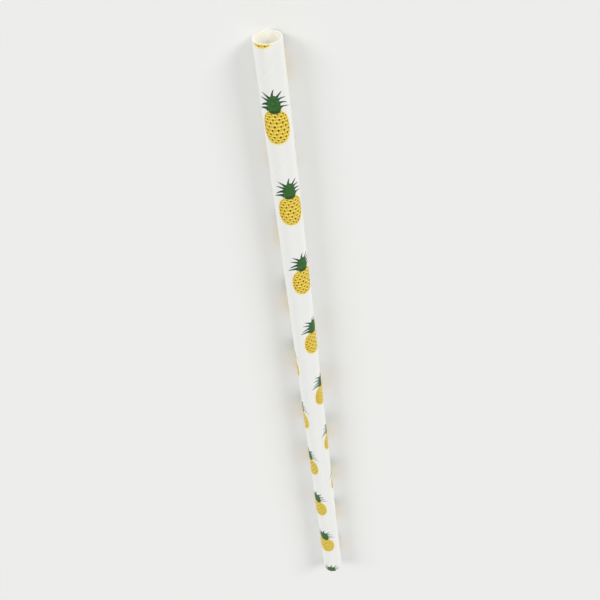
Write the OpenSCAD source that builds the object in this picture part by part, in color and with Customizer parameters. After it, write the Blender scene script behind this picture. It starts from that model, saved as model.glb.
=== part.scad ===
// Spiral-wound paper drinking straw, lying on its side as it comes to rest.
// Its axis runs along X, with the drinking end at +X. The origin lies on the
// surface under it, below the middle of its length.

/* [Tube] */
// Outside diameter
tube_od = 6; // [4:0.1:12]
// Thickness of the wound wall, with all its plies pressed and glued together
wall = 0.4; // [0.25:0.05:0.8]
// Length from end to end
tube_length = 197; // [80:1:260]
// Bevel that the cutting knife presses into the edges of both ends
cut_bevel = 0.06; // [0.02:0.01:0.1]

/* [Outer ply] */
// Angle between the wound strip and the tube's axis
winding_angle = 39.5; // [30:0.1:60]
// Width of the seam where one turn of the strip meets the next
seam_width = 0.2; // [0.1:0.02:0.4]
// Depth of the seam, less than the thickness of the outer ply
seam_depth = 0.08; // [0.04:0.01:0.12]
// Where the seam meets the drinking end, as an angle from the top of the tube
seam_start = 75; // [0:15:345]

/* [Hidden] */

outer_r = tube_od / 2;
bore_r = outer_r - wall;
circle_steps = 96;

// The strip climbs one lead for each turn round the tube.
lead = PI * tube_od / tan(winding_angle);
// The seam's width is measured square to the strip. Along the axis it is wider.
seam_along_axis = seam_width / sin(winding_angle);

// The seam is cut by a wedge that is as tall above the surface as it is deep,
// and that runs on past both ends of the tube.
wedge_rise = seam_depth;
wedge_half = seam_along_axis / 2 * (seam_depth + wedge_rise) / seam_depth;
wedge_runout = wedge_half + seam_width;
steps_per_turn = 24;
runout_steps = ceil(wedge_runout / lead * steps_per_turn);
wedge_steps = ceil(tube_length / lead * steps_per_turn) + 2 * runout_steps;

// The wedge's three edges as [radius, shift along the axis]
wedge_section = [
    [outer_r - seam_depth, 0],
    [outer_r + wedge_rise, wedge_half],
    [outer_r + wedge_rise, -wedge_half]
];
wedge_edges = len(wedge_section);

paper_white = [0.97, 0.965, 0.95];

// A point of the wedge, counted in turns down from the drinking end
function wedge_point(turn, edge) =
    let (angle = seam_start - 360 * turn)
    [
        edge[0] * cos(angle),
        edge[0] * sin(angle),
        tube_length - lead * turn + edge[1]
    ];

// Number of an edge's point in ring i, where edge numbers run round
function corner(i, j) = i * wedge_edges + j % wedge_edges;

// The wound wall: a ring section with bevelled edges, turned round the axis
module wound_wall() {
    rotate_extrude($fn = circle_steps)
        polygon([
            [bore_r, cut_bevel],
            [bore_r + cut_bevel, 0],
            [outer_r - cut_bevel, 0],
            [outer_r, cut_bevel],
            [outer_r, tube_length - cut_bevel],
            [outer_r - cut_bevel, tube_length],
            [bore_r + cut_bevel, tube_length],
            [bore_r, tube_length - cut_bevel]
        ]);
}

// The helical wedge that presses the seam into the outer ply
module seam_wedge() {
    points = [
        for (i = [0 : wedge_steps], edge = wedge_section)
            wedge_point((i - runout_steps) / steps_per_turn, edge)
    ];
    sides = [
        for (i = [0 : wedge_steps - 1], j = [0 : wedge_edges - 1])
            each [
                [corner(i, j), corner(i, j + 1), corner(i + 1, j + 1)],
                [corner(i, j), corner(i + 1, j + 1), corner(i + 1, j)]
            ]
    ];
    first_cap = [for (j = [wedge_edges - 1 : -1 : 0]) corner(0, j)];
    last_cap = [for (j = [0 : wedge_edges - 1]) corner(wedge_steps, j)];
    polyhedron(points, concat([first_cap], sides, [last_cap]));
}

// The whole straw, wound upright and then laid down on its side
module paper_tube() {
    color(paper_white)
        translate([-tube_length / 2, 0, outer_r])
            rotate([0, 90, 0])
                rotate([0, 0, 180])
                    difference() {
                        wound_wall();
                        seam_wedge();
                    }
}

paper_tube();
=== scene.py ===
"""Looks for a spiral-wound paper drinking straw with a printed outer ply, laid on a pale floor."""

import math

import bmesh
import bpy
import numpy as np
from mathutils import Matrix, Vector


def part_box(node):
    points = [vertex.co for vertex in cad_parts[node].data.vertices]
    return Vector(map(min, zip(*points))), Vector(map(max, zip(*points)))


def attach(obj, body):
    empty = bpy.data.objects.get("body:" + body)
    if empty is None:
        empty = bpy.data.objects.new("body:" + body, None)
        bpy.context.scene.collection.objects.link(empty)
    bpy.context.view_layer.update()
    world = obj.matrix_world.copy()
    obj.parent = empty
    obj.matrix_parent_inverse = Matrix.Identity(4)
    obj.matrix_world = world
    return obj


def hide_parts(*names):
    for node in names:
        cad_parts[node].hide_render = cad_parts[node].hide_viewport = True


bl_info = {
    "name": "Wound Paper Straw",
    "version": (1, 0, 0),
    "blender": (4, 5, 0),
    "location": "View3D > Sidebar > Paper Straw",
    "description": "Winds a printed paper drinking straw and lays it on a pale floor",
    "category": "Add Mesh",
}

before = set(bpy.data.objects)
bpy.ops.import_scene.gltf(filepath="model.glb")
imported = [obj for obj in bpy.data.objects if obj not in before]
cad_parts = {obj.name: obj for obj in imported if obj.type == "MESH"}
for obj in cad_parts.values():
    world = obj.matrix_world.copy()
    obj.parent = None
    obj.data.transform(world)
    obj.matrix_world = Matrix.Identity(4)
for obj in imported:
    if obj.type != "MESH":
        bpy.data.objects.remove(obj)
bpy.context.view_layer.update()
tube_low, tube_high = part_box("paper_tube")

MM = 0.001
FULL_TURN = 2 * math.pi

# The mesh has this many columns round the tube, and its rows wind with the strip. On both sides of a
# seam they lie this many seam widths from its middle. Coarse ones fill this part of the strip between.
COLUMNS = 120
SEAM_ROWS = (0.0, 0.2, 0.38, 0.58, 1.2)
COARSE_ROWS = 6
COARSE_PART = (0.08, 0.92)
# The seam's bell is this many seam widths wide, and fades out over this length at both ends.
BELL_WIDTH = 0.3
BELL_FADE = 0.3 * MM
# Points on the quarter circles over the edges of a cut end, and rings on the flat between them
EDGE_POINTS = 5
FLAT_RINGS = 3
# Points of neighbouring grids that lie no further apart than this are made one.
MERGE_REACH = 0.001 * MM
# Strips of paper that are wound over each other and glued
PLIES = 3

# Places on the bake's square, from 0 to 1: its margin, the size and step of the outer wall's three
# bands, the bore's band, and the strip that the two ends share
BAKE_MARGIN = 0.004
WALL_BANDS = 3
WALL_BAND_HEIGHT = 0.254
WALL_BAND_STEP = 0.262
WALL_BAND_OVERLAP = 3 * MM
BORE_BAND_START = 0.795
BORE_BAND_HEIGHT = 0.15
END_STRIP_START = 0.958
END_STRIP_HEIGHT = 0.03
END_STRIP_WIDTH = 0.492

# All sizes of the fruit are in millimetres from the middle of its body.
# Its body is an egg: |x / half width| and |y / half height|, each to the power of the roundness,
# add up to 1 on its outline. The half width grows by the taper for each millimetre upwards.
BODY = {"middle": (0.0, 0.2), "half": (2.94, 3.95), "taper": -0.015, "roundness": 2.3}
# The crown's heart is a squarer egg of the same kind.
HEART = {"middle": (0.03, 5.45), "half": (1.33, 2.08), "taper": -0.12, "roundness": 2.7}

# The eyes stand in slanting rows. Towards the sides and the foot they crowd together,
# as points on a ball do, so the rows are even in the arc sines of the two offsets.
BALL_HALF = (3.29, 3.9)
EYE_STEP = (1.31, 0.885)
EYE_SLANT = 0.42
FIRST_EYE = (-0.366, 0.313)
EYE_HALF = (0.28, 0.34)
# The light cap above an eye: how far above it, and its half width and half height
CAP_RISE = 0.37
CAP_HALF = (0.50, 0.27)
# The drawing hand puts an eye off its place by up to half of this.
EYE_SWAY = 0.4

# Where a fruit's stretch of the strip starts, below the middle of its body
STRETCH_START = -5.2

# The leaves as (root, middle, tip, width at the root, taper). A lower taper makes a blunter leaf.
LEAVES = (
    ((-0.12, 7.0), (-0.08, 8.0), (0.32, 8.95), 0.62, 0.45),
    ((-0.75, 6.9), (-1.60, 7.72), (-2.50, 8.10), 0.60, 0.55),
    ((-0.95, 6.3), (-1.95, 6.75), (-3.00, 6.78), 0.62, 0.50),
    ((-1.00, 5.6), (-2.10, 5.68), (-3.15, 4.85), 0.92, 0.30),
    ((-1.05, 4.5), (-2.30, 4.80), (-3.72, 3.95), 1.06, 0.35),
    ((0.65, 6.9), (1.30, 7.72), (1.95, 8.20), 0.56, 0.40),
    ((0.95, 6.5), (1.90, 6.90), (2.75, 6.58), 0.56, 0.40),
    ((1.05, 5.7), (2.10, 5.90), (3.10, 5.20), 0.62, 0.35),
    ((1.20, 4.7), (2.30, 5.05), (3.72, 4.15), 0.70, 0.35),
)

# How far the floor reaches from its middle, in metres
FLOOR_HALF = 20
# The direction in which the right lamp shines, with the left lamp as its mirror image, and how wide
# both look from the object
LAMP_AIM = (-0.59, 0.68, -0.44)
LAMP_WIDTH = math.radians(26)
# Width of the camera's picture behind the lens, in millimetres
SENSOR_WIDTH = 36


def linear_colour(hex_value):
    """An sRGB hex value as a linear colour: each channel by the sRGB curve, and an alpha of 1."""
    channels = [int(hex_value[i : i + 2], 16) / 255 for i in (1, 3, 5)]
    return (*[c / 12.92 if c <= 0.04045 else ((c + 0.055) / 1.055) ** 2.4 for c in channels], 1.0)


def add_node(tree, kind, inputs=None, **settings):
    """Adds a node with its settings and links, and returns it.

    Inputs go by number or name. An input is a value, a socket, or a node, whose first live output it
    takes. Of a Map Range, 1 and 2 are the range that it takes, and 3 and 4 the range that it gives. Of
    a Mix of colours, 0 is the share of the second one, and 6 and 7 are the two colours.
    """
    node = tree.nodes.new(kind)
    for name, value in settings.items():
        setattr(node, name, value)
    for key, value in (inputs or {}).items():
        if isinstance(value, bpy.types.Node):
            value = next(output for output in value.outputs if output.enabled)
        if isinstance(value, bpy.types.NodeSocket):
            tree.links.new(value, node.inputs[key])
        else:
            node.inputs[key].default_value = value
    return node


def emptied_tree(owner):
    """Turns on the nodes of a material or a world, and returns its tree with nothing in it."""
    owner.use_nodes = True
    owner.node_tree.nodes.clear()
    return owner.node_tree


class WindingSizes(bpy.types.PropertyGroup):
    """Sizes of the wound tube."""

    length: bpy.props.FloatProperty(
        name="Length",
        description="Length from end to end",
        default=round(tube_high.x - tube_low.x, 6),
        unit="LENGTH",
        precision=5,
    )
    diameter: bpy.props.FloatProperty(
        name="Diameter",
        description="Outside diameter",
        default=round(tube_high.z - tube_low.z, 6),
        unit="LENGTH",
        precision=5,
    )
    wall: bpy.props.FloatProperty(
        name="Wall",
        description="Thickness of the glued plies",
        default=0.4 * MM,
        unit="LENGTH",
        precision=5,
    )
    winding_angle: bpy.props.FloatProperty(
        name="Winding Angle",
        description="Angle between the wound strip and the tube's axis",
        default=math.radians(39.5),
        subtype="ANGLE",
    )
    seam_start: bpy.props.FloatProperty(
        name="Seam Start",
        description="Where the outer seam meets the drinking end, from the top towards -Y",
        default=math.radians(75),
        subtype="ANGLE",
    )
    seam_width: bpy.props.FloatProperty(
        name="Seam Width",
        description="Width of the seam between two turns of the outer ply",
        default=0.2 * MM,
        unit="LENGTH",
        precision=5,
    )
    seam_depth: bpy.props.FloatProperty(
        name="Seam Depth",
        description="Depth of the seam",
        default=0.05 * MM,
        unit="LENGTH",
        precision=5,
    )
    edge_radius: bpy.props.FloatProperty(
        name="Edge Radius",
        description="Rounding that the knife leaves on the edges of both ends",
        default=0.06 * MM,
        unit="LENGTH",
        precision=5,
    )


class PrintSizes(bpy.types.PropertyGroup):
    """Places and colours of the printed fruits."""

    first_angle: bpy.props.FloatProperty(
        name="First Angle",
        description="Angle from the top to the first whole fruit, towards -Y",
        default=math.radians(-7.9),
        subtype="ANGLE",
    )
    first_distance: bpy.props.FloatProperty(
        name="First Distance",
        description="Distance from the drinking end to the middle of the first whole fruit",
        default=18.55 * MM,
        unit="LENGTH",
        precision=5,
    )
    spacing: bpy.props.FloatProperty(
        name="Spacing",
        description="Distance from fruit to fruit along the strip",
        default=13.97 * MM,
        unit="LENGTH",
        precision=5,
    )
    paper: bpy.props.FloatVectorProperty(
        name="Paper",
        description="Colour of the coated paper",
        default=linear_colour("#F4F4F1"),
        size=4,
        min=0,
        max=1,
        subtype="COLOR",
    )
    bare_paper: bpy.props.FloatVectorProperty(
        name="Bare Paper",
        description="Colour of the uncoated paper inside",
        default=linear_colour("#FDFBF0"),
        size=4,
        min=0,
        max=1,
        subtype="COLOR",
    )
    yellow: bpy.props.FloatVectorProperty(
        name="Yellow",
        description="Main colour of the fruit",
        default=linear_colour("#F0CF4C"),
        size=4,
        min=0,
        max=1,
        subtype="COLOR",
    )
    amber: bpy.props.FloatVectorProperty(
        name="Amber",
        description="Colour of the fruit's ripe side",
        default=linear_colour("#DD9918"),
        size=4,
        min=0,
        max=1,
        subtype="COLOR",
    )
    green: bpy.props.FloatVectorProperty(
        name="Green",
        description="Colour of the crown's heart",
        default=linear_colour("#2A5F24"),
        size=4,
        min=0,
        max=1,
        subtype="COLOR",
    )


class StageSizes(bpy.types.PropertyGroup):
    """Sizes and levels of the stage."""

    camera_distance: bpy.props.FloatProperty(
        name="Camera Distance",
        description="Distance from the camera to the drinking end",
        default=0.1738,
        unit="LENGTH",
    )
    camera_angle: bpy.props.FloatProperty(
        name="Camera Angle",
        description="Angle between the tube's axis and the line from its drinking end to the camera",
        default=math.radians(63.6),
        subtype="ANGLE",
    )
    camera_aim: bpy.props.FloatProperty(
        name="Camera Aim",
        description="Angle between the camera's view and straight down",
        default=math.radians(43.4),
        subtype="ANGLE",
    )
    camera_lean: bpy.props.FloatProperty(
        name="Camera Lean",
        description="How far the tube leans to the left in the picture",
        default=math.radians(7.1),
        subtype="ANGLE",
    )
    lens: bpy.props.FloatProperty(
        name="Lens",
        description="Focal length in millimetres",
        default=52.0,
        unit="CAMERA",
    )
    floor: bpy.props.FloatVectorProperty(
        name="Floor",
        description="Colour of the floor",
        default=linear_colour("#EFEFED"),
        size=4,
        min=0,
        max=1,
        subtype="COLOR",
    )
    floor_glow: bpy.props.FloatProperty(
        name="Floor Glow",
        description="What the camera sees the floor give off, besides the light that falls on it",
        default=0.05,
        min=0,
        max=1,
        subtype="FACTOR",
    )
    room_light: bpy.props.FloatProperty(
        name="Room Light",
        description="Level of the light that comes from all sides",
        default=0.56,
        min=0,
        max=1,
        subtype="FACTOR",
    )
    room_seen: bpy.props.FloatProperty(
        name="Room Seen",
        description="Level at which the room is seen, beyond the floor's far edge and as a reflection",
        default=0.86,
        min=0,
        max=1,
        subtype="FACTOR",
    )
    right_lamp: bpy.props.FloatProperty(
        name="Right Lamp",
        description="Strength of the soft lamp on the right of the picture",
        default=1.4,
        min=0,
    )
    left_lamp: bpy.props.FloatProperty(
        name="Left Lamp",
        description="Strength of the soft lamp on the left of the picture",
        default=1.2,
        min=0,
    )


def strip_places(turn_angle, along, sizes, print_sizes):
    """Places on the flat strip, in millimetres from the first fruit.

    With the skin unrolled, a point lies (arc, rise) from the fruit. Its place along the strip is
    arc * sin + rise * cos of the winding angle, and its place across is rise * sin - arc * cos.
    """
    # The first whole fruit is printed one turn down from where the angles start.
    fruit_angle = print_sizes.first_angle - FULL_TURN
    arc = sizes.diameter / 2 * (turn_angle - fruit_angle) / MM
    rise = (along - sizes.length / 2 + print_sizes.first_distance) / MM
    lengthwise = arc * math.sin(sizes.winding_angle) + rise * math.cos(sizes.winding_angle)
    crosswise = rise * math.sin(sizes.winding_angle) - arc * math.cos(sizes.winding_angle)
    return np.stack([lengthwise, crosswise], axis=-1)


def wound_wall(radius, seam_start, outward, sizes, print_sizes):
    """One wall of the tube as (points, strip places, angles), in rows that wind with the strip.

    A point lies at angle * lead / full turn along the axis, plus its row's share of a lead, and no
    further than the ends. There the skin sinks into the wall by the seam's depth times a bell of its
    distance from the seam, exp(-square of (distance / (bell width * seam width))), which fades out at
    the ends.
    """
    lead = math.pi * sizes.diameter / math.tan(sizes.winding_angle)
    strip_width = lead * math.sin(sizes.winding_angle)
    end = sizes.length / 2 - sizes.edge_radius
    slopes = sizes.seam_width * np.array(SEAM_ROWS)
    middle = np.linspace(*COARSE_PART, COARSE_ROWS) * strip_width
    across = np.concatenate([slopes, middle, (strip_width - slopes)[::-1]])[None, :, None]
    turns = np.arange(math.floor(-sizes.length / lead) - 2, 2)[:, None, None]
    angle = np.linspace(0, FULL_TURN, COLUMNS + 1)[None, None, :]
    turn_angle = angle + FULL_TURN * turns + 0 * across
    seam = sizes.length / 2 + lead * (turn_angle - seam_start) / FULL_TURN
    along = np.clip(seam + across / math.sin(sizes.winding_angle), -end, end)
    off_seam = np.minimum(across, strip_width - across)
    bell = np.exp(-((off_seam / (BELL_WIDTH * sizes.seam_width)) ** 2))
    bell = bell * np.clip((end - np.abs(along)) / BELL_FADE, 0, 1)
    skin = radius - outward * sizes.seam_depth * bell
    angles = angle + 0 * along
    height = sizes.diameter / 2 + skin * np.cos(angles)
    points = np.stack([along, -skin * np.sin(angles), height], axis=-1)
    return points, strip_places(turn_angle, along, sizes, print_sizes), angles


def cut_end(side, sizes, print_sizes):
    """One cut end as (points, strip places, angles): a profile turned round the tube's axis.

    The profile is a quarter circle over the outer edge, a flat, and a quarter circle over the inner one.
    """
    outer = sizes.diameter / 2
    inner = outer - sizes.wall
    edge = sizes.edge_radius
    quarter = np.linspace(0, math.pi / 2, EDGE_POINTS)
    outer_edge = outer - edge + edge * np.cos(quarter)
    inner_edge = inner + edge - edge * np.sin(quarter)
    flat = np.linspace(outer - edge, inner + edge, FLAT_RINGS + 2)[1:-1]
    radius = np.concatenate([outer_edge, flat, inner_edge])
    reach = np.concatenate([edge * np.sin(quarter), np.full(FLAT_RINGS, edge), edge * np.cos(quarter)])
    angles = np.linspace(0, FULL_TURN, COLUMNS + 1)[None, None, :] + 0 * radius[None, :, None]
    along = side * (sizes.length / 2 - edge + reach)[None, :, None] + 0 * angles
    radius = radius[None, :, None] + 0 * angles
    points = np.stack([along, -radius * np.sin(angles), outer + radius * np.cos(angles)], axis=-1)
    return points, strip_places(angles - FULL_TURN, along, sizes, print_sizes), angles


def bake_places(part, points, angles, sizes):
    """Places of the faces' corners on the bake's square, where nothing overlaps.

    The outer wall fills three bands, each for a third of the length with an overlap at both ends. A
    face goes to the band of its middle. The bore has a band above them, and the two ends share the
    strip at the top.
    """
    turn = angles / FULL_TURN
    along = points[..., 0]
    if part == "outside":
        middle = along.mean(axis=1, keepdims=True)
        band = np.clip(np.floor((middle / sizes.length + 0.5) * WALL_BANDS), 0, WALL_BANDS - 1)
        start = (band / WALL_BANDS - 0.5) * sizes.length - WALL_BAND_OVERLAP
        place = (along - start) / (sizes.length / WALL_BANDS + 2 * WALL_BAND_OVERLAP)
        height = BAKE_MARGIN + WALL_BAND_STEP * band + WALL_BAND_HEIGHT * turn
        return np.stack([place, height], axis=-1)
    if part == "bore":
        place = BAKE_MARGIN + (1 - 2 * BAKE_MARGIN) * (along / sizes.length + 0.5)
        return np.stack([place, BORE_BAND_START + BORE_BAND_HEIGHT * turn], axis=-1)
    radius = np.hypot(points[..., 1], points[..., 2] - sizes.diameter / 2)
    depth = (sizes.diameter / 2 - radius) / sizes.wall
    # On the rounded edges the way along the axis counts too, so that no face falls flat.
    depth = depth + np.where(depth < 0.5, 1, -1) * (np.abs(along) - sizes.length / 2) / sizes.wall
    start = BAKE_MARGIN + (0 if part == "mouth" else 0.5)
    place = start + END_STRIP_WIDTH * turn
    return np.stack([place, END_STRIP_START + END_STRIP_HEIGHT * depth], axis=-1)


def tube_mesh(sizes, print_sizes):
    """The closed tube: its outer wall, bore and two cut ends, merged where they meet.

    Each is a stack of grids of points, and four neighbours in a grid make a face.
    """
    outer = sizes.diameter / 2
    inner = outer - sizes.wall
    parts = (
        ("outside", 0, wound_wall(outer, sizes.seam_start, 1, sizes, print_sizes)),
        ("bore", 1, wound_wall(inner, sizes.seam_start + math.pi, -1, sizes, print_sizes)),
        ("mouth", 2, cut_end(1, sizes, print_sizes)),
        ("foot", 2, cut_end(-1, sizes, print_sizes)),
    )
    points, faces, strips, bakes, slots = [], [], [], [], []
    count = 0
    for name, slot, (grid, places, angles) in parts:
        flat = grid.reshape(-1, 3)
        numbers = np.arange(len(flat)).reshape(grid.shape[:-1])
        corners = [numbers[:, :-1, :-1], numbers[:, :-1, 1:], numbers[:, 1:, 1:], numbers[:, 1:, :-1]]
        quads = np.stack(corners, axis=-1).reshape(-1, 4)
        points.append(flat)
        faces.append(quads + count)
        strips.append(places.reshape(-1, 2)[quads].reshape(-1, 2))
        bakes.append(bake_places(name, flat[quads], angles.reshape(-1)[quads], sizes).reshape(-1, 2))
        slots.append(np.full(len(quads), slot))
        count += len(flat)
    mesh = bpy.data.meshes.new("paper_straw")
    mesh.from_pydata(np.concatenate(points), [], np.concatenate(faces).tolist())
    mesh.uv_layers.new(name="strip")
    mesh.uv_layers.new(name="OFBake")
    mesh.uv_layers["strip"].data.foreach_set("uv", np.concatenate(strips).astype(np.float32).ravel())
    mesh.uv_layers["OFBake"].data.foreach_set("uv", np.concatenate(bakes).astype(np.float32).ravel())
    mesh.uv_layers["strip"].active_render = True
    mesh.uv_layers.active = mesh.uv_layers["strip"]
    mesh.polygons.foreach_set("material_index", np.concatenate(slots).astype(np.int32))
    mesh.polygons.foreach_set("use_smooth", np.ones(len(mesh.polygons), dtype=bool))
    shell = bmesh.new()
    shell.from_mesh(mesh)
    bmesh.ops.remove_doubles(shell, verts=shell.verts, dist=MERGE_REACH)
    bmesh.ops.recalc_face_normals(shell, faces=shell.faces)
    shell.to_mesh(mesh)
    shell.free()
    return mesh


def egg_group():
    """A node group that draws an egg, and gives how far out a point lies, with 1 on the outline.

    That is |x / half width| and |y / half height|, each to the power of the roundness, added up, and
    the root of the sum. The half width grows by the taper for each millimetre upwards.
    """
    group = bpy.data.node_groups.new("Printed Egg", "ShaderNodeTree")
    group.interface.new_socket("Point", in_out="INPUT", socket_type="NodeSocketVector")
    group.interface.new_socket("Middle", in_out="INPUT", socket_type="NodeSocketVector")
    for name in ("Half Width", "Half Height", "Taper", "Roundness"):
        group.interface.new_socket(name, in_out="INPUT", socket_type="NodeSocketFloat")
    group.interface.new_socket("Way Out", in_out="OUTPUT", socket_type="NodeSocketFloat")
    given = add_node(group, "NodeGroupInput").outputs
    off = {0: given["Point"], 1: given["Middle"]}
    off = add_node(group, "ShaderNodeVectorMath", off, operation="SUBTRACT")
    x, y, _ = add_node(group, "ShaderNodeSeparateXYZ", {0: off}).outputs
    wider = {0: y, 1: given["Taper"], 2: 1.0}
    wider = add_node(group, "ShaderNodeMath", wider, operation="MULTIPLY_ADD")
    half = add_node(group, "ShaderNodeMath", {0: wider, 1: given["Half Width"]}, operation="MULTIPLY")
    powers = []
    for off, half in ((x, half), (y, given["Half Height"])):
        share = add_node(group, "ShaderNodeMath", {0: off, 1: half}, operation="DIVIDE")
        share = add_node(group, "ShaderNodeMath", {0: share}, operation="ABSOLUTE")
        power = {0: share, 1: given["Roundness"]}
        powers.append(add_node(group, "ShaderNodeMath", power, operation="POWER"))
    total = add_node(group, "ShaderNodeMath", {0: powers[0], 1: powers[1]}, operation="ADD")
    root = add_node(group, "ShaderNodeMath", {0: 1.0, 1: given["Roundness"]}, operation="DIVIDE")
    total = add_node(group, "ShaderNodeMath", {0: total, 1: root}, operation="POWER")
    add_node(group, "NodeGroupOutput", {0: total})
    return group


def leaf_group():
    """A node group that draws a leaf round a parabola, and gives 1 inside the leaf.

    Its own axes run along and across the start of the leaf. With the way from 0 at the root to 1 at the
    tip, the leaf's middle lies at bend * way squared. Half its width falls as (1 - way) to the power
    of the taper, and (1 - way) to the power of 8 spreads its root.
    """
    group = bpy.data.node_groups.new("Printed Leaf", "ShaderNodeTree")
    group.interface.new_socket("Point", in_out="INPUT", socket_type="NodeSocketVector")
    group.interface.new_socket("Root", in_out="INPUT", socket_type="NodeSocketVector")
    for name in ("Turn", "Length", "Bend", "Half Width", "Taper"):
        group.interface.new_socket(name, in_out="INPUT", socket_type="NodeSocketFloat")
    group.interface.new_socket("Mask", in_out="OUTPUT", socket_type="NodeSocketFloat")
    given = add_node(group, "NodeGroupInput").outputs
    off = {0: given["Point"], 1: given["Root"]}
    off = add_node(group, "ShaderNodeVectorMath", off, operation="SUBTRACT")
    turned = {"Vector": off, "Angle": given["Turn"]}
    own = add_node(group, "ShaderNodeVectorRotate", turned, rotation_type="Z_AXIS")
    x, y, _ = add_node(group, "ShaderNodeSeparateXYZ", {0: own}).outputs
    way = add_node(group, "ShaderNodeMath", {0: x, 1: given["Length"]}, operation="DIVIDE")
    left = add_node(group, "ShaderNodeMath", {0: 1.0, 1: way}, operation="SUBTRACT", use_clamp=True)
    half = add_node(group, "ShaderNodeMath", {0: left, 1: given["Taper"]}, operation="POWER")
    spread = add_node(group, "ShaderNodeMath", {0: left, 1: 8.0}, operation="POWER")
    half = add_node(group, "ShaderNodeMath", {0: spread, 1: 0.6, 2: half}, operation="MULTIPLY_ADD")
    half = add_node(group, "ShaderNodeMath", {0: half, 1: given["Half Width"]}, operation="MULTIPLY")
    middle = add_node(group, "ShaderNodeMath", {0: way, 1: way}, operation="MULTIPLY")
    middle = add_node(group, "ShaderNodeMath", {0: middle, 1: given["Bend"]}, operation="MULTIPLY")
    off = add_node(group, "ShaderNodeMath", {0: y, 1: middle}, operation="SUBTRACT")
    off = add_node(group, "ShaderNodeMath", {0: off}, operation="ABSOLUTE")
    within = add_node(group, "ShaderNodeMath", {0: half, 1: off}, operation="SUBTRACT")
    mask = add_node(group, "ShaderNodeMapRange", {0: within, 1: -0.05, 2: 0.07})
    begun = add_node(group, "ShaderNodeMapRange", {0: x, 1: -0.1, 2: 0.1})
    ended = add_node(group, "ShaderNodeMapRange", {0: way, 1: 1.02, 2: 0.95})
    mask = add_node(group, "ShaderNodeMath", {0: mask, 1: begun}, operation="MULTIPLY")
    mask = add_node(group, "ShaderNodeMath", {0: mask, 1: ended}, operation="MULTIPLY")
    add_node(group, "NodeGroupOutput", {0: mask})
    return group


def leaf_masks(tree, point):
    """The largest mask of all leaves.

    A parabola through the root, the middle at half way and the tip sets out along 4 * middle - tip,
    counted from the root. What the tip is off that line is the bend.
    """
    group = leaf_group()
    total = 0.0
    for root, middle, tip, width, taper in LEAVES:
        middle = Vector(middle) - Vector(root)
        tip = Vector(tip) - Vector(root)
        start = (4 * middle - tip).normalized()
        leaf = {
            "Point": point,
            "Root": (*root, 0),
            "Turn": -math.atan2(start.y, start.x),
            "Length": tip.dot(start),
            "Bend": tip.dot(Vector((-start.y, start.x))),
            "Half Width": width / 2,
            "Taper": taper,
        }
        leaf = add_node(tree, "ShaderNodeGroup", leaf, node_tree=group)
        total = add_node(tree, "ShaderNodeMath", {0: leaf, 1: total}, operation="MAXIMUM")
    return total


def eye_places(tree, point, rise=0.0):
    """Places in the net of eyes: (column, row) from the nearest eye in steps, and (x, y) in millimetres.

    Both offsets from the fruit's middle are stretched as half * arc sine of (offset / half). The row is
    the stretched height over its step, and the column is the stretched width over its step, less the
    slant times the row. Each then loses its nearest whole number. With a rise, all of them are counted
    from the spot that lies that far above the eye.
    """
    steps = []
    for axis, offset in enumerate(add_node(tree, "ShaderNodeSeparateXYZ", {0: point}).outputs[:2]):
        offset = add_node(tree, "ShaderNodeMath", {0: offset, 1: BALL_HALF[axis]}, operation="DIVIDE")
        offset = add_node(tree, "ShaderNodeMath", {0: offset}, operation="ARCSINE")
        scale = BALL_HALF[axis] / EYE_STEP[axis]
        first = -(FIRST_EYE[axis] + rise * axis) / EYE_STEP[axis]
        step = {0: offset, 1: scale, 2: first}
        steps.append(add_node(tree, "ShaderNodeMath", step, operation="MULTIPLY_ADD"))
    column, row = steps
    column = {0: row, 1: -EYE_SLANT, 2: column}
    column = add_node(tree, "ShaderNodeMath", column, operation="MULTIPLY_ADD")
    column = add_node(tree, "ShaderNodeMath", {0: column, 1: 0.5, 2: -0.5}, operation="WRAP")
    row = add_node(tree, "ShaderNodeMath", {0: row, 1: 0.5, 2: -0.5}, operation="WRAP")
    x = add_node(tree, "ShaderNodeMath", {0: row, 1: EYE_SLANT, 2: column}, operation="MULTIPLY_ADD")
    x = add_node(tree, "ShaderNodeMath", {0: x, 1: EYE_STEP[0]}, operation="MULTIPLY")
    y = add_node(tree, "ShaderNodeMath", {0: row, 1: EYE_STEP[1]}, operation="MULTIPLY")
    return column, row, x, y


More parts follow.
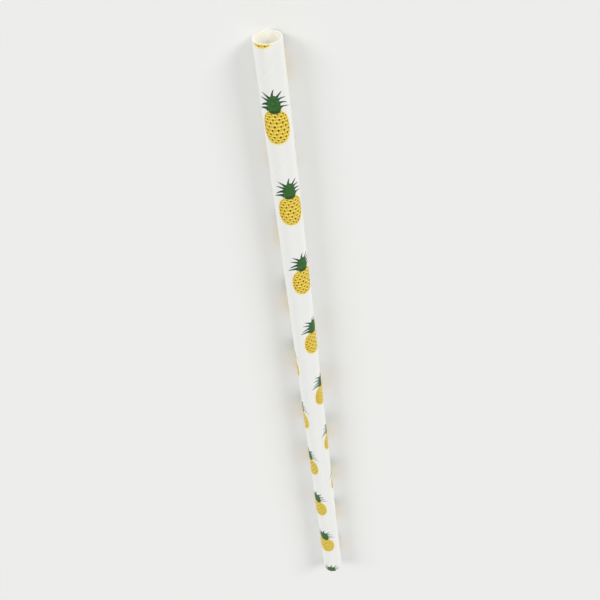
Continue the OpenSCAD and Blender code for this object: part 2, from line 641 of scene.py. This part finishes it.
def fruit_skin(tree, point, way_out, print_sizes, strip):
    """Colour of the fruit's body: yellow that ripens to amber, under a net of eyes.

    Each eye is a dark rhomb, |x / half width| + |y / half height| < 1. The light cap above it is an
    oval, length of (x / half width, y / half height) < 1, with a soft rim, and the skin darkens half way
    between the eyes of a row. Ripe patches are about 1.1 mm wide.
    """
    patches = add_node(tree, "ShaderNodeTexNoise", {"Vector": strip, "Scale": 0.9, "Detail": 1.0})
    patchy = add_node(tree, "ShaderNodeMapRange", {0: patches, 1: 0.4, 2: 0.75, 4: 0.25})
    x, _, _ = add_node(tree, "ShaderNodeSeparateXYZ", {0: point}).outputs
    left = add_node(tree, "ShaderNodeMapRange", {0: x, 1: -1.8, 2: -3.0, 4: 0.7})
    rim = add_node(tree, "ShaderNodeMapRange", {0: way_out, 1: 0.9, 2: 1.0, 4: 0.45})
    ripe = add_node(tree, "ShaderNodeMath", {0: left, 1: rim}, operation="MAXIMUM")
    ripe = add_node(tree, "ShaderNodeMath", {0: ripe, 1: patchy}, operation="ADD", use_clamp=True)
    below, above = print_sizes.yellow[:], print_sizes.amber[:]
    skin = add_node(tree, "ShaderNodeMix", {0: ripe, 6: below, 7: above}, data_type="RGBA")

    # Drawn by hand, the eyes don't stand quite even.
    sway = add_node(tree, "ShaderNodeTexNoise", {"Vector": point, "Scale": 0.8, "Detail": 1.0})
    centred = {0: sway.outputs["Color"], 1: (0.5, 0.5, 0.5)}
    sway = add_node(tree, "ShaderNodeVectorMath", centred, operation="SUBTRACT")
    swayed = {0: sway, 1: (EYE_SWAY, EYE_SWAY, 0), 2: point}
    swayed = add_node(tree, "ShaderNodeVectorMath", swayed, operation="MULTIPLY_ADD")
    column, row, x, y = eye_places(tree, swayed)
    column = add_node(tree, "ShaderNodeMath", {0: column}, operation="ABSOLUTE")
    row = add_node(tree, "ShaderNodeMath", {0: row}, operation="ABSOLUTE")
    between = add_node(tree, "ShaderNodeMapRange", {0: column, 1: 0.22, 2: 0.5, 4: 0.6})
    level_with_eyes = add_node(tree, "ShaderNodeMapRange", {0: row, 1: 0.5, 2: 0.1})
    between = add_node(tree, "ShaderNodeMath", {0: between, 1: level_with_eyes}, operation="MULTIPLY")
    above = linear_colour("#C39C24")
    skin = add_node(tree, "ShaderNodeMix", {0: between, 6: skin, 7: above}, data_type="RGBA")

    cap_x, cap_y = eye_places(tree, swayed, CAP_RISE)[2:]
    cap = add_node(tree, "ShaderNodeCombineXYZ", {0: cap_x, 1: cap_y})
    cap = add_node(tree, "ShaderNodeVectorMath", {0: cap, 1: (*CAP_HALF, 1)}, operation="DIVIDE")
    cap = add_node(tree, "ShaderNodeVectorMath", {0: cap}, operation="LENGTH")
    cap = add_node(tree, "ShaderNodeMapRange", {0: cap, 1: 1.15, 2: 0.3, 4: 1.0})
    above = linear_colour("#FFEE72")
    skin = add_node(tree, "ShaderNodeMix", {0: cap, 6: skin, 7: above}, data_type="RGBA")

    shares = []
    for off, half in zip((x, y), EYE_HALF):
        off = add_node(tree, "ShaderNodeMath", {0: off}, operation="ABSOLUTE")
        shares.append(add_node(tree, "ShaderNodeMath", {0: off, 1: half}, operation="DIVIDE"))
    eye = add_node(tree, "ShaderNodeMath", {0: shares[0], 1: shares[1]}, operation="ADD")
    eye = add_node(tree, "ShaderNodeMapRange", {0: eye, 1: 1.25, 2: 0.75})
    above = linear_colour("#5C4200")
    return add_node(tree, "ShaderNodeMix", {0: eye, 6: skin, 7: above}, data_type="RGBA")


def printed_fruit(tree, strip, print_sizes, sizes):
    """Colour of the printed paper, and a mask of where there is ink.

    The place along the strip repeats by the spacing, which gives one fruit after another. Each point is
    then turned so that the fruit stands upright on the tube, with its crown towards the drinking end.
    """
    along, across, _ = add_node(tree, "ShaderNodeSeparateXYZ", {0: strip}).outputs
    stretch = {0: along, 1: print_sizes.spacing / MM + STRETCH_START, 2: STRETCH_START}
    along = add_node(tree, "ShaderNodeMath", stretch, operation="WRAP")
    point = add_node(tree, "ShaderNodeCombineXYZ", {0: along, 1: across})
    turned = {"Vector": point, "Angle": math.pi / 2 - sizes.winding_angle}
    point = add_node(tree, "ShaderNodeVectorRotate", turned, rotation_type="Z_AXIS")
    egg = egg_group()
    way_out = []
    for shape in (BODY, HEART):
        values = {
            "Point": point,
            "Middle": (*shape["middle"], 0),
            "Half Width": shape["half"][0],
            "Half Height": shape["half"][1],
            "Taper": shape["taper"],
            "Roundness": shape["roundness"],
        }
        way_out.append(add_node(tree, "ShaderNodeGroup", values, node_tree=egg))
    halo = add_node(tree, "ShaderNodeMapRange", {0: way_out[0], 1: 1.15, 2: 1.0, 4: 0.95})
    body = add_node(tree, "ShaderNodeMapRange", {0: way_out[0], 1: 1.02, 2: 0.98})
    heart = add_node(tree, "ShaderNodeMapRange", {0: way_out[1], 1: 1.04, 2: 0.96})
    leaves = leaf_masks(tree, point)
    skin = fruit_skin(tree, point, way_out[0], print_sizes, strip)

    # The press lays the ink down unevenly, in specks of about a fifth of a millimetre.
    specks = add_node(tree, "ShaderNodeTexNoise", {"Vector": strip, "Scale": 4.5, "Detail": 3.0})
    _, height, _ = add_node(tree, "ShaderNodeSeparateXYZ", {0: point}).outputs
    shade = add_node(tree, "ShaderNodeMapRange", {0: height, 1: 4.3, 2: 3.6, 4: 0.8})
    # The heart's green is mottled, in patches of about half a millimetre.
    mottled = add_node(tree, "ShaderNodeTexNoise", {"Vector": strip, "Scale": 1.7, "Detail": 3.0})
    mottled = add_node(tree, "ShaderNodeMapRange", {0: mottled, 1: 0.38, 2: 0.66, 4: 0.8})
    below, above = print_sizes.green[:], linear_colour("#486F40")
    crown = add_node(tree, "ShaderNodeMix", {0: mottled, 6: below, 7: above}, data_type="RGBA")
    above = linear_colour("#193A1B")
    crown = add_node(tree, "ShaderNodeMix", {0: shade, 6: crown, 7: above}, data_type="RGBA")
    worn = add_node(tree, "ShaderNodeMapRange", {0: specks, 1: 0.35, 2: 0.7, 4: 0.5})
    below, above = linear_colour("#1F4128"), linear_colour("#3E6B48")
    leaf_ink = add_node(tree, "ShaderNodeMix", {0: worn, 6: below, 7: above}, data_type="RGBA")

    below, above = print_sizes.paper[:], linear_colour("#FBF0A4")
    colour = add_node(tree, "ShaderNodeMix", {0: halo, 6: below, 7: above}, data_type="RGBA")
    colour = add_node(tree, "ShaderNodeMix", {0: body, 6: colour, 7: skin}, data_type="RGBA")
    colour = add_node(tree, "ShaderNodeMix", {0: leaves, 6: colour, 7: leaf_ink}, data_type="RGBA")
    colour = add_node(tree, "ShaderNodeMix", {0: heart, 6: colour, 7: crown}, data_type="RGBA")
    level = add_node(tree, "ShaderNodeMapRange", {0: specks, 1: 0.3, 2: 0.7, 3: 0.95, 4: 1.03})
    colour = add_node(tree, "ShaderNodeVectorMath", {0: colour, 1: level}, operation="MULTIPLY")
    ink = add_node(tree, "ShaderNodeMath", {0: body, 1: heart}, operation="MAXIMUM")
    ink = add_node(tree, "ShaderNodeMath", {0: ink, 1: leaves}, operation="MAXIMUM")
    return colour, ink


def coated_paper(sizes, print_sizes):
    """Coated paper, printed and calendered: a smooth, nearly matt sheet with slightly shiny inks."""
    material = bpy.data.materials.new("printed coated paper")
    tree = emptied_tree(material)
    strip = add_node(tree, "ShaderNodeUVMap", uv_map="strip")
    colour, ink = printed_fruit(tree, strip, print_sizes, sizes)
    # Calendered fibres show as faint streaks, about a third of a millimetre wide and 2 mm long.
    streaks = add_node(tree, "ShaderNodeMapping", {"Vector": strip, "Scale": (0.5, 3.2, 1)})
    fibres = add_node(tree, "ShaderNodeTexNoise", {"Vector": streaks, "Scale": 1.0, "Detail": 4.0})
    rough = add_node(tree, "ShaderNodeMapRange", {0: ink, 3: 0.62, 4: 0.5})
    bump = {"Strength": 0.5, "Distance": 0.008 * MM, "Height": fibres}
    bump = add_node(tree, "ShaderNodeBump", bump)
    shader = {"Base Color": colour, "Roughness": rough, "IOR": 1.47, "Normal": bump}
    shader["Specular IOR Level"] = 0.2
    shader = add_node(tree, "ShaderNodeBsdfPrincipled", shader)
    add_node(tree, "ShaderNodeOutputMaterial", {"Surface": shader})
    return material


def bare_paper(print_sizes):
    """Uncoated white paper inside: matt and a little warmer, with a coarser mat of fibres."""
    material = bpy.data.materials.new("uncoated bore paper")
    tree = emptied_tree(material)
    strip = add_node(tree, "ShaderNodeUVMap", uv_map="strip")
    # Bundles of fibres are a quarter of a millimetre wide and about 1.2 mm long.
    streaks = add_node(tree, "ShaderNodeMapping", {"Vector": strip, "Scale": (0.8, 4.0, 1)})
    fibres = add_node(tree, "ShaderNodeTexNoise", {"Vector": streaks, "Scale": 1.0, "Detail": 4.0})
    cloudy = add_node(tree, "ShaderNodeMapRange", {0: fibres, 1: 0.3, 2: 0.7, 4: 0.35})
    below, above = print_sizes.bare_paper[:], linear_colour("#F6F3E6")
    colour = add_node(tree, "ShaderNodeMix", {0: cloudy, 6: below, 7: above}, data_type="RGBA")
    bump = {"Strength": 0.7, "Distance": 0.015 * MM, "Height": fibres}
    bump = add_node(tree, "ShaderNodeBump", bump)
    shader = {"Base Color": colour, "Roughness": 0.85, "IOR": 1.45, "Normal": bump}
    shader = add_node(tree, "ShaderNodeBsdfPrincipled", shader)
    add_node(tree, "ShaderNodeOutputMaterial", {"Surface": shader})
    return material


def cut_paper(sizes):
    """Paper cut across by a knife: matt and fibrous, with thin glue lines between its three plies."""
    material = bpy.data.materials.new("knife-cut paper edge")
    tree = emptied_tree(material)
    place = add_node(tree, "ShaderNodeTexCoord").outputs["Object"]
    place = add_node(tree, "ShaderNodeVectorMath", {0: place, 3: 1 / MM}, operation="SCALE")
    _, y, z = add_node(tree, "ShaderNodeSeparateXYZ", {0: place}).outputs
    outer = sizes.diameter / 2 / MM
    z = add_node(tree, "ShaderNodeMath", {0: z, 1: outer}, operation="SUBTRACT")
    radius = add_node(tree, "ShaderNodeCombineXYZ", {0: y, 1: z})
    radius = add_node(tree, "ShaderNodeVectorMath", {0: radius}, operation="LENGTH")
    depth = add_node(tree, "ShaderNodeMath", {0: outer, 1: radius}, operation="SUBTRACT")
    plies = add_node(tree, "ShaderNodeMath", {0: depth, 1: sizes.wall / PLIES / MM}, operation="DIVIDE")
    # The glue lines are drawn about 0.035 mm thick, some three times as thick as they are, to show.
    line = add_node(tree, "ShaderNodeMath", {0: plies, 1: 0.5, 2: -0.5}, operation="WRAP")
    line = add_node(tree, "ShaderNodeMath", {0: line}, operation="ABSOLUTE")
    line = add_node(tree, "ShaderNodeMapRange", {0: line, 1: 0.2, 2: 0.06, 4: 0.4})
    # The cut ends of fibre bundles show as specks of 0.07 mm.
    fibres = add_node(tree, "ShaderNodeTexNoise", {"Vector": place, "Scale": 14.0, "Detail": 3.0})
    cloudy = add_node(tree, "ShaderNodeMapRange", {0: fibres, 1: 0.3, 2: 0.7, 4: 0.5})
    below, above = linear_colour("#F2F0E6"), linear_colour("#E5E1D4")
    colour = add_node(tree, "ShaderNodeMix", {0: cloudy, 6: below, 7: above}, data_type="RGBA")
    above = linear_colour("#C9C1B0")
    colour = add_node(tree, "ShaderNodeMix", {0: line, 6: colour, 7: above}, data_type="RGBA")
    bump = {"Strength": 0.8, "Distance": 0.03 * MM, "Height": fibres}
    bump = add_node(tree, "ShaderNodeBump", bump)
    shader = {"Base Color": colour, "Roughness": 0.9, "IOR": 1.45, "Normal": bump}
    shader = add_node(tree, "ShaderNodeBsdfPrincipled", shader)
    add_node(tree, "ShaderNodeOutputMaterial", {"Surface": shader})
    return material


class PAPERSTRAW_OT_wind_tube(bpy.types.Operator):
    """Wind the printed tube, with its bore, seam and cut ends."""

    bl_idname = "paper_straw.wind_tube"
    bl_label = "Wind Tube"

    def execute(self, context):
        sizes = context.scene.paper_straw_winding
        print_sizes = context.scene.paper_straw_print
        if not 2 * sizes.edge_radius < sizes.wall < sizes.diameter / 2:
            raise RuntimeError("the wall doesn't fit between the rounded edges and the tube's middle")
        tube = bpy.data.objects.new("paper_straw", tube_mesh(sizes, print_sizes))
        tube.data.materials.append(coated_paper(sizes, print_sizes))
        tube.data.materials.append(bare_paper(print_sizes))
        tube.data.materials.append(cut_paper(sizes))
        context.scene.collection.objects.link(tube)
        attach(tube, "root")
        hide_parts("paper_tube")
        return {"FINISHED"}


class PAPERSTRAW_OT_set_stage(bpy.types.Operator):
    """Lay the floor, and set up the lamps and the camera."""

    bl_idname = "paper_straw.set_stage"
    bl_label = "Set Stage"

    def execute(self, context):
        scene = context.scene
        sizes = scene.paper_straw_winding
        stage = scene.paper_straw_stage

        # A smooth matt studio board. The camera sees it a little brighter than it lights the object.
        material = bpy.data.materials.new("matt studio board")
        tree = emptied_tree(material)
        path = add_node(tree, "ShaderNodeLightPath").outputs
        board_shader = add_node(tree, "ShaderNodeBsdfDiffuse", {"Color": stage.floor[:]})
        glow = {0: path["Is Camera Ray"], 1: stage.floor_glow}
        glow = add_node(tree, "ShaderNodeMath", glow, operation="MULTIPLY")
        glow = add_node(tree, "ShaderNodeEmission", {"Color": (1, 1, 1, 1), "Strength": glow})
        shader = add_node(tree, "ShaderNodeAddShader", {0: board_shader, 1: glow})
        add_node(tree, "ShaderNodeOutputMaterial", {"Surface": shader})
        board = bpy.data.meshes.new("floor")
        corners = [(-1, -1), (1, -1), (1, 1), (-1, 1)]
        corners = [(x * FLOOR_HALF, y * FLOOR_HALF, 0) for x, y in corners]
        board.from_pydata(corners, [], [(0, 1, 2, 3)])
        board.materials.append(material)
        floor = bpy.data.objects.new("floor", board)
        scene.collection.objects.link(floor)

        # The room lights the object softly from all sides. What is seen of it is nearly white.
        world = bpy.data.worlds.new("pale room")
        tree = emptied_tree(world)
        path = add_node(tree, "ShaderNodeLightPath").outputs
        rays = {0: path["Is Camera Ray"], 1: path["Is Glossy Ray"]}
        seen = add_node(tree, "ShaderNodeMath", rays, operation="MAXIMUM")
        rays = {0: seen, 1: path["Is Transmission Ray"]}
        seen = add_node(tree, "ShaderNodeMath", rays, operation="MAXIMUM")
        level = add_node(tree, "ShaderNodeMapRange", {0: seen, 3: stage.room_light, 4: stage.room_seen})
        room = add_node(tree, "ShaderNodeBackground", {"Color": (1, 1, 1, 1), "Strength": level})
        add_node(tree, "ShaderNodeOutputWorld", {"Surface": room})
        scene.world = world

        # Two wide soft lamps shine low from the camera's side, one from the right and one from the
        # left, so that their light reaches into the mouth and along both flanks.
        lamps = (
            ("right lamp", stage.right_lamp, 1),
            ("left lamp", stage.left_lamp, -1),
        )
        for name, strength, side in lamps:
            lamp = bpy.data.lights.new(name, "SUN")
            lamp.energy = strength
            lamp.angle = LAMP_WIDTH
            soft_lamp = bpy.data.objects.new(name, lamp)
            aim = Vector((LAMP_AIM[0], side * LAMP_AIM[1], LAMP_AIM[2])).to_track_quat("-Z", "Y")
            soft_lamp.matrix_world = aim.to_matrix().to_4x4()
            scene.collection.objects.link(soft_lamp)

        # The camera looks down at the tube from beyond its drinking end, which is up in the picture.
        mouth = Vector((sizes.length / 2, 0, sizes.diameter / 2))
        reach = Vector((math.cos(stage.camera_angle), 0, math.sin(stage.camera_angle)))
        place = mouth + stage.camera_distance * reach
        view = Vector((-math.sin(stage.camera_aim), 0, -math.cos(stage.camera_aim)))
        upright = Vector((math.cos(stage.camera_aim), 0, -math.sin(stage.camera_aim)))
        up = math.cos(stage.camera_lean) * upright + math.sin(stage.camera_lean) * view.cross(upright)
        turn = Matrix((view.cross(up), up, -view)).transposed().to_4x4()
        optics = bpy.data.cameras.new("camera")
        optics.lens = stage.lens
        optics.sensor_width = SENSOR_WIDTH
        optics.clip_start = 0.01
        camera = bpy.data.objects.new("camera", optics)
        camera.matrix_world = Matrix.Translation(place) @ turn
        scene.collection.objects.link(camera)
        scene.camera = camera
        scene.view_settings.view_transform = "Standard"
        return {"FINISHED"}


class PAPERSTRAW_PT_panel(bpy.types.Panel):
    """Sizes, colours and steps of the paper straw."""

    bl_idname = "PAPERSTRAW_PT_panel"
    bl_label = "Paper Straw"
    bl_space_type = "VIEW_3D"
    bl_region_type = "UI"
    bl_category = "Paper Straw"

    def draw(self, context):
        steps = (
            (context.scene.paper_straw_winding, None),
            (context.scene.paper_straw_print, PAPERSTRAW_OT_wind_tube.bl_idname),
            (context.scene.paper_straw_stage, PAPERSTRAW_OT_set_stage.bl_idname),
        )
        for group, step in steps:
            for name in type(group).__annotations__:
                self.layout.prop(group, name)
            if step:
                self.layout.operator(step)


CLASSES = (
    WindingSizes,
    PrintSizes,
    StageSizes,
    PAPERSTRAW_OT_wind_tube,
    PAPERSTRAW_OT_set_stage,
    PAPERSTRAW_PT_panel,
)
GROUPS = {
    "paper_straw_winding": WindingSizes,
    "paper_straw_print": PrintSizes,
    "paper_straw_stage": StageSizes,
}


def register():
    for item in CLASSES:
        bpy.utils.register_class(item)
    for name, group in GROUPS.items():
        setattr(bpy.types.Scene, name, bpy.props.PointerProperty(type=group))


def unregister():
    for name in GROUPS:
        delattr(bpy.types.Scene, name)
    for item in reversed(CLASSES):
        bpy.utils.unregister_class(item)


def main():
    register()
    bpy.ops.paper_straw.wind_tube()
    bpy.ops.paper_straw.set_stage()


if __name__ == "__main__":
    main()
